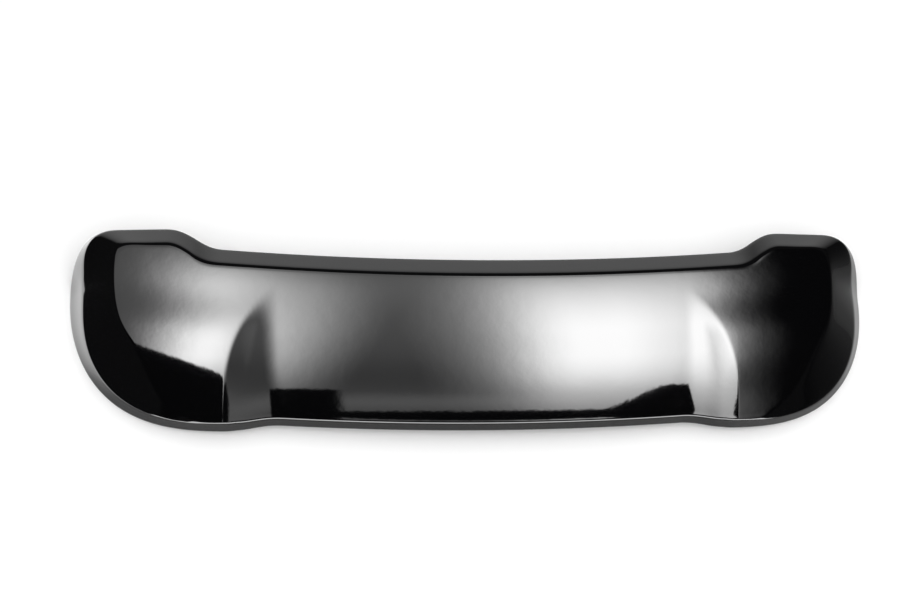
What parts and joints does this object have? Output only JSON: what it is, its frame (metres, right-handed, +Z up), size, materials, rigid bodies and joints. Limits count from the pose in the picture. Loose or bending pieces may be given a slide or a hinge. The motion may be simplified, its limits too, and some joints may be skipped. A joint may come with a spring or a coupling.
{
  "type": "rear spoiler",
  "caption": "Wide gloss black rear roof spoiler with a bowed roof edge, raised end lobes, a sunken centre panel and a thin trailing lip",
  "frame": {"origin": "bottom centre of the bounding box, on the ground it rests on", "axes": "X across the car, +Y forward to the roof, +Z up"},
  "size_m": [1.2196, 0.3, 0.0982],
  "materials": {
    "gloss_black": "piano black paint under clear lacquer on moulded ABS",
    "brass": "turned and knurled",
    "foam": "closed cell foam",
    "pin_plastic": "natural nylon, as moulded",
    "tape_foam": "foam tape",
    "plug_rubber": "soft moulded rubber"
  },
  "bodies": {
    "root": {"body": "gloss_black", "insert_left_outer": "brass", "insert_left_middle": "brass", "insert_left_inner": "brass", "insert_right_inner": "brass", "insert_right_middle": "brass", "insert_right_outer": "brass", "gasket_left_outer": "foam", "gasket_left_middle": "foam", "gasket_left_inner": "foam", "gasket_right_inner": "foam", "gasket_right_middle": "foam", "gasket_right_outer": "foam", "locating_pin_left": "pin_plastic", "locating_pin_right": "pin_plastic", "foam_tape_left": "tape_foam", "foam_tape_centre": "tape_foam", "foam_tape_right": "tape_foam", "vent_plug_left": "plug_rubber", "vent_plug_right": "plug_rubber"}
  },
  "joints": []
}
